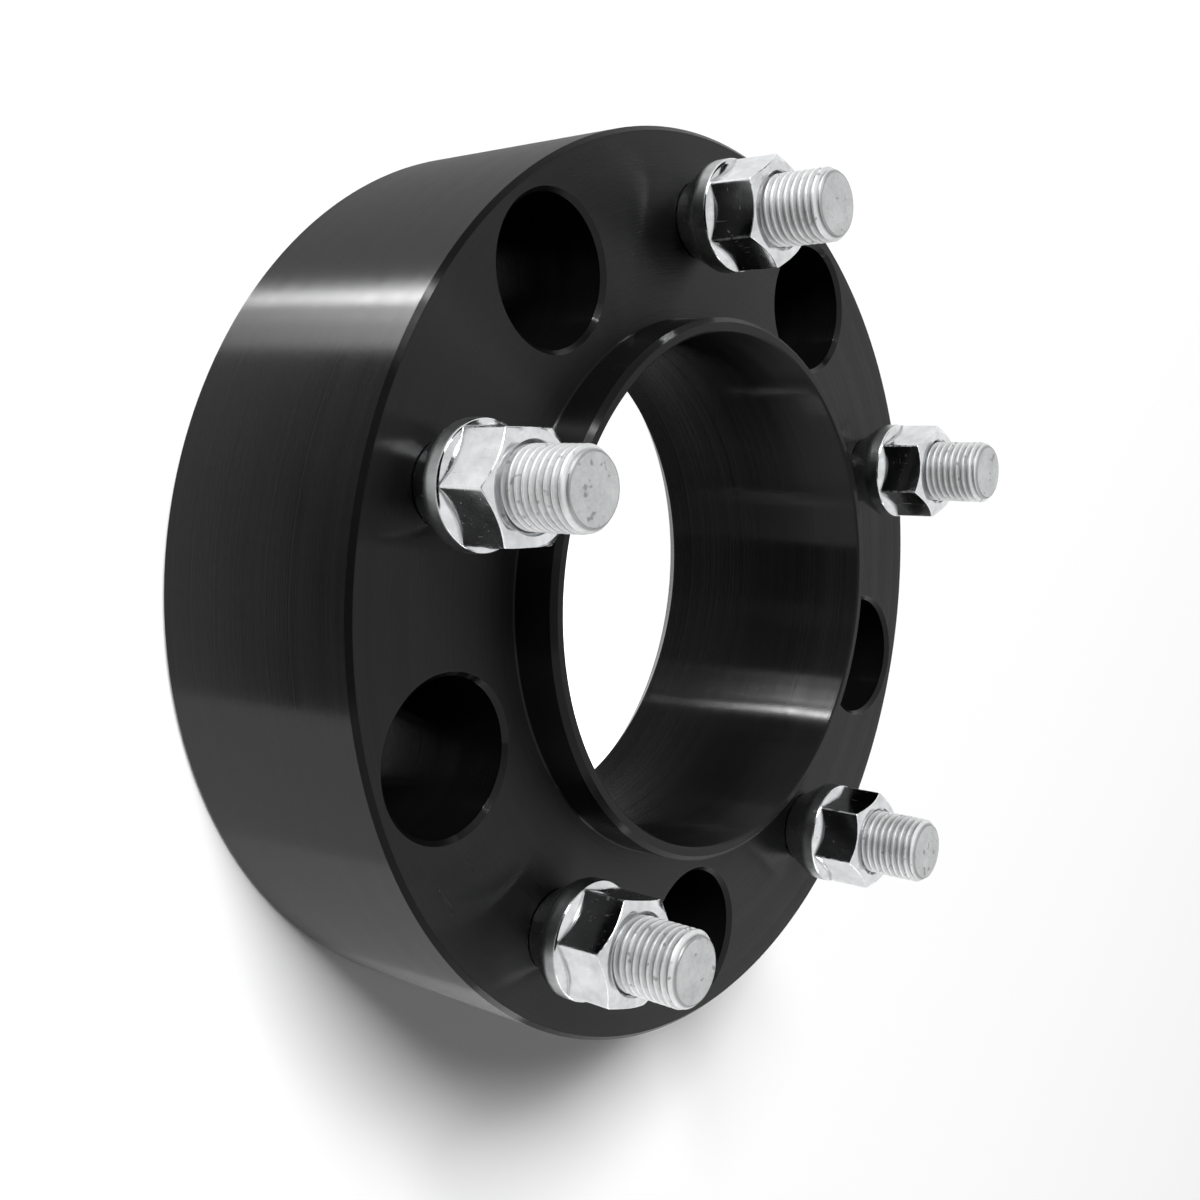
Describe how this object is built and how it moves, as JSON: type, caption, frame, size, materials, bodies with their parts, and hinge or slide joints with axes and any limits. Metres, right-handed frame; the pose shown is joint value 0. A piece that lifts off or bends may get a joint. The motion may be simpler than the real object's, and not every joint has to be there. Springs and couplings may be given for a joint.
{
  "type": "wheel spacer",
  "caption": "Hub-centric bolt-on wheel spacer: black turned ring with register lip, deep nut pockets, pressed threaded studs and open conical-seat lug nuts.",
  "frame": {"origin": "centre of the hub face, on the wheel's axis, at the base of the part as it stands", "axes": "+Z along the wheel's axis from the hub face to the wheel face; +Y through wheel stud 1"},
  "size_m": [0.185, 0.185, 0.0832],
  "materials": {
    "body": "black anodised over fine turning marks",
    "stud": "zinc plated, satin",
    "nut": "bright chrome plated"
  },
  "bodies": {
    "root": {"spacer_body": "body", "wheel_stud_1": "stud", "wheel_stud_2": "stud", "wheel_stud_3": "stud", "wheel_stud_4": "stud", "wheel_stud_5": "stud", "lug_nut_1": "nut", "lug_nut_2": "nut", "lug_nut_3": "nut", "lug_nut_4": "nut", "lug_nut_5": "nut"}
  },
  "joints": []
}
